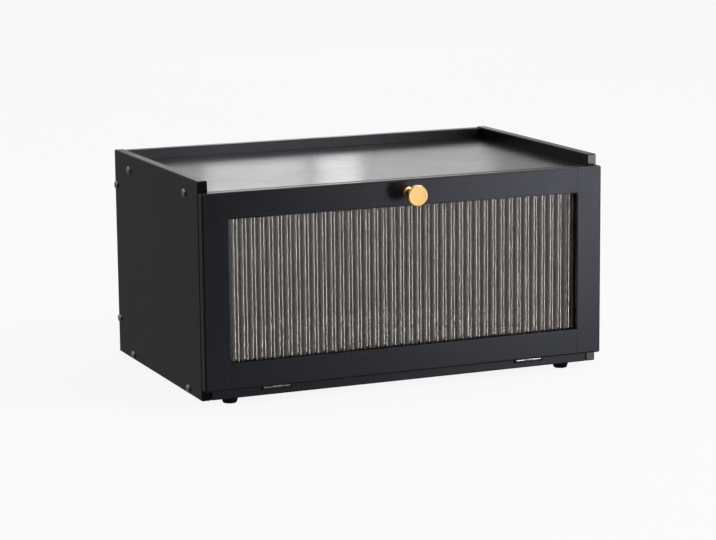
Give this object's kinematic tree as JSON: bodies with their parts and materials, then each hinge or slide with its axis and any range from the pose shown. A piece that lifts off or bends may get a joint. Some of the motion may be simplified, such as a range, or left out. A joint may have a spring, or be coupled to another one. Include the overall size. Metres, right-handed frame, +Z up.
{
  "type": "bread box",
  "caption": "Black wooden bread box: a boarded case with a shallow tray on top and a drop-down front door with a fluted clear window and a round brass knob.",
  "frame": {"origin": "on the surface that the feet stand on, under the middle of the whole object, knob included", "axes": "+Z up, -Y towards the door and its knob, +X to the right as seen from the front"},
  "size_m": [0.4046, 0.2726, 0.206],
  "materials": {
    "case_wood": "matte black stain over fine straight grain",
    "door_wood": "matte black stain over fine straight grain",
    "window_acrylic": "clear, polished, fluted on its face",
    "knob_brass": "satin turned brass",
    "foot_rubber": "matte moulded rubber",
    "hinge_steel": "bright nickel-plated steel",
    "dark_steel": "dull dark-plated steel",
    "zinc_steel": "zinc-plated steel",
    "catch_nickel": "nickel-plated"
  },
  "bodies": {
    "case": {"left_side_panel": "case_wood", "right_side_panel": "case_wood", "top_board": "case_wood", "bottom_board": "case_wood", "back_panel": "case_wood", "side_screws": "dark_steel", "feet": "foot_rubber", "foot_screws": "zinc_steel", "case_leaves": "hinge_steel", "hinge_pins": "hinge_steel", "case_leaf_screws": "hinge_steel", "catch_magnets": "catch_nickel"},
    "door": {"door_left_stile": "door_wood", "door_right_stile": "door_wood", "door_top_rail": "door_wood", "door_bottom_rail": "door_wood", "window_top_bead": "door_wood", "window_bottom_bead": "door_wood", "window_left_bead": "door_wood", "window_right_bead": "door_wood", "window_pane": "window_acrylic", "bead_brads": "zinc_steel", "knob": "knob_brass", "knob_screw": "zinc_steel", "catch_strikes": "catch_nickel", "door_leaves": "hinge_steel", "door_leaf_screws": "hinge_steel"}
  },
  "joints": [
    {"name": "door_hinge", "type": "hinge", "parent": "case", "child": "door", "pos_m": [0, -0.10375, 0.0135], "axis": [1, 0, 0], "range_deg": [0, 83.2]}
  ]
}
